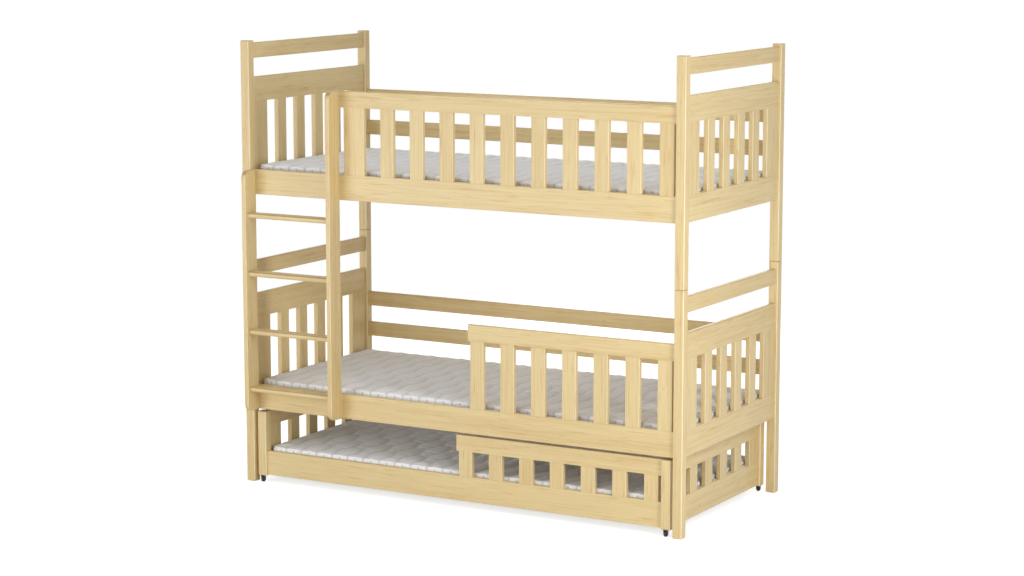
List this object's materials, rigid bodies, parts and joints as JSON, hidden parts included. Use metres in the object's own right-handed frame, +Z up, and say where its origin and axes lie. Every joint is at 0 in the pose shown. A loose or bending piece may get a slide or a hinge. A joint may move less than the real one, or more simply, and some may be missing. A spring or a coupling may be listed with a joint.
{
  "type": "bunk bed with trundle",
  "caption": "Pine bunk bed: an upper and a lower slatted bed with guards and end frames, a fixed ladder, and a low trundle bed on castors that rolls out.",
  "frame": {"origin": "on the floor, under the middle of the whole object's length and of its depth with the ladder", "axes": "+X along the bed to the right, +Y to the back, +Z up; the ladder and guards face -Y"},
  "size_m": [1.98, 0.965, 1.804],
  "materials": {
    "clear_pine": "clear satin lacquer over planed pine",
    "raw_pine": "planed, unfinished pine",
    "beech_dowel": "raw beech",
    "mattress_cover": "white quilted knitted cover",
    "castor_plastic": "black moulded plastic",
    "zinc_steel": "zinc-plated steel"
  },
  "bodies": {
    "bunk_frame": {"bunk_connector_nuts": "zinc_steel", "bunk_connector_rods": "zinc_steel", "bunk_dowels": "beech_dowel", "ladder_left_stringer": "clear_pine", "ladder_right_stringer": "clear_pine", "ladder_screws": "zinc_steel", "ladder_treads": "clear_pine", "lower_back_guard_rails": "clear_pine", "lower_back_side_rail": "clear_pine", "lower_bed_slats": "raw_pine", "lower_cleats": "raw_pine", "lower_front_side_rail": "clear_pine", "lower_guard_rail": "clear_pine", "lower_guard_slats": "clear_pine", "lower_left_end_boards": "clear_pine", "lower_left_end_posts": "clear_pine", "lower_left_end_slats": "clear_pine", "lower_mattress": "mattress_cover", "lower_right_end_boards": "clear_pine", "lower_right_end_posts": "clear_pine", "lower_right_end_slats": "clear_pine", "post_dowels": "beech_dowel", "upper_back_guard_rails": "clear_pine", "upper_back_side_rail": "clear_pine", "upper_bed_slats": "raw_pine", "upper_cleats": "raw_pine", "upper_front_side_rail": "clear_pine", "upper_guard_rail": "clear_pine", "upper_guard_slats": "clear_pine", "upper_left_end_boards": "clear_pine", "upper_left_end_posts": "clear_pine", "upper_left_end_slats": "clear_pine", "upper_mattress": "mattress_cover", "upper_right_end_boards": "clear_pine", "upper_right_end_posts": "clear_pine", "upper_right_end_slats": "clear_pine"},
    "trundle": {"trundle_back_side_rail": "clear_pine", "trundle_bed_slats": "raw_pine", "trundle_cleats": "raw_pine", "trundle_connector_nuts": "zinc_steel", "trundle_connector_rods": "zinc_steel", "trundle_dowels": "beech_dowel", "trundle_front_side_rail": "clear_pine", "trundle_guard_rail": "clear_pine", "trundle_guard_slats": "clear_pine", "trundle_left_end_boards": "clear_pine", "trundle_left_end_posts": "clear_pine", "trundle_left_end_slats": "clear_pine", "trundle_mattress": "mattress_cover", "trundle_right_end_boards": "clear_pine", "trundle_right_end_posts": "clear_pine", "trundle_right_end_slats": "clear_pine"},
    "castor_front_left": {"castor_fork_front_left": "castor_plastic"},
    "wheel_front_left": {"castor_wheel_front_left": "castor_plastic"},
    "castor_front_right": {"castor_fork_front_right": "castor_plastic"},
    "wheel_front_right": {"castor_wheel_front_right": "castor_plastic"},
    "castor_back_left": {"castor_fork_back_left": "castor_plastic"},
    "wheel_back_left": {"castor_wheel_back_left": "castor_plastic"},
    "castor_back_right": {"castor_fork_back_right": "castor_plastic"},
    "wheel_back_right": {"castor_wheel_back_right": "castor_plastic"}
  },
  "joints": [
    {"name": "trundle_slide", "type": "slide", "parent": "bunk_frame", "child": "trundle", "axis": [0, -1, 0], "range_m": [0, 0.9]},
    {"name": "castor_swivel_front_left", "type": "hinge", "parent": "trundle", "child": "castor_front_left", "pos_m": [-0.918, -0.3895, 0.026], "axis": [0, 0, 1], "continuous": true},
    {"name": "wheel_spin_front_left", "type": "hinge", "parent": "castor_front_left", "child": "wheel_front_left", "pos_m": [-0.918, -0.4015, 0.011], "axis": [1, 0, 0], "continuous": true},
    {"name": "castor_swivel_front_right", "type": "hinge", "parent": "trundle", "child": "castor_front_right", "pos_m": [0.918, -0.3895, 0.026], "axis": [0, 0, 1], "continuous": true},
    {"name": "wheel_spin_front_right", "type": "hinge", "parent": "castor_front_right", "child": "wheel_front_right", "pos_m": [0.918, -0.4015, 0.011], "axis": [1, 0, 0], "continuous": true},
    {"name": "castor_swivel_back_left", "type": "hinge", "parent": "trundle", "child": "castor_back_left", "pos_m": [-0.918, 0.4345, 0.026], "axis": [0, 0, 1], "continuous": true},
    {"name": "wheel_spin_back_left", "type": "hinge", "parent": "castor_back_left", "child": "wheel_back_left", "pos_m": [-0.918, 0.4465, 0.011], "axis": [1, 0, 0], "continuous": true},
    {"name": "castor_swivel_back_right", "type": "hinge", "parent": "trundle", "child": "castor_back_right", "pos_m": [0.918, 0.4345, 0.026], "axis": [0, 0, 1], "continuous": true},
    {"name": "wheel_spin_back_right", "type": "hinge", "parent": "castor_back_right", "child": "wheel_back_right", "pos_m": [0.918, 0.4465, 0.011], "axis": [1, 0, 0], "continuous": true}
  ]
}
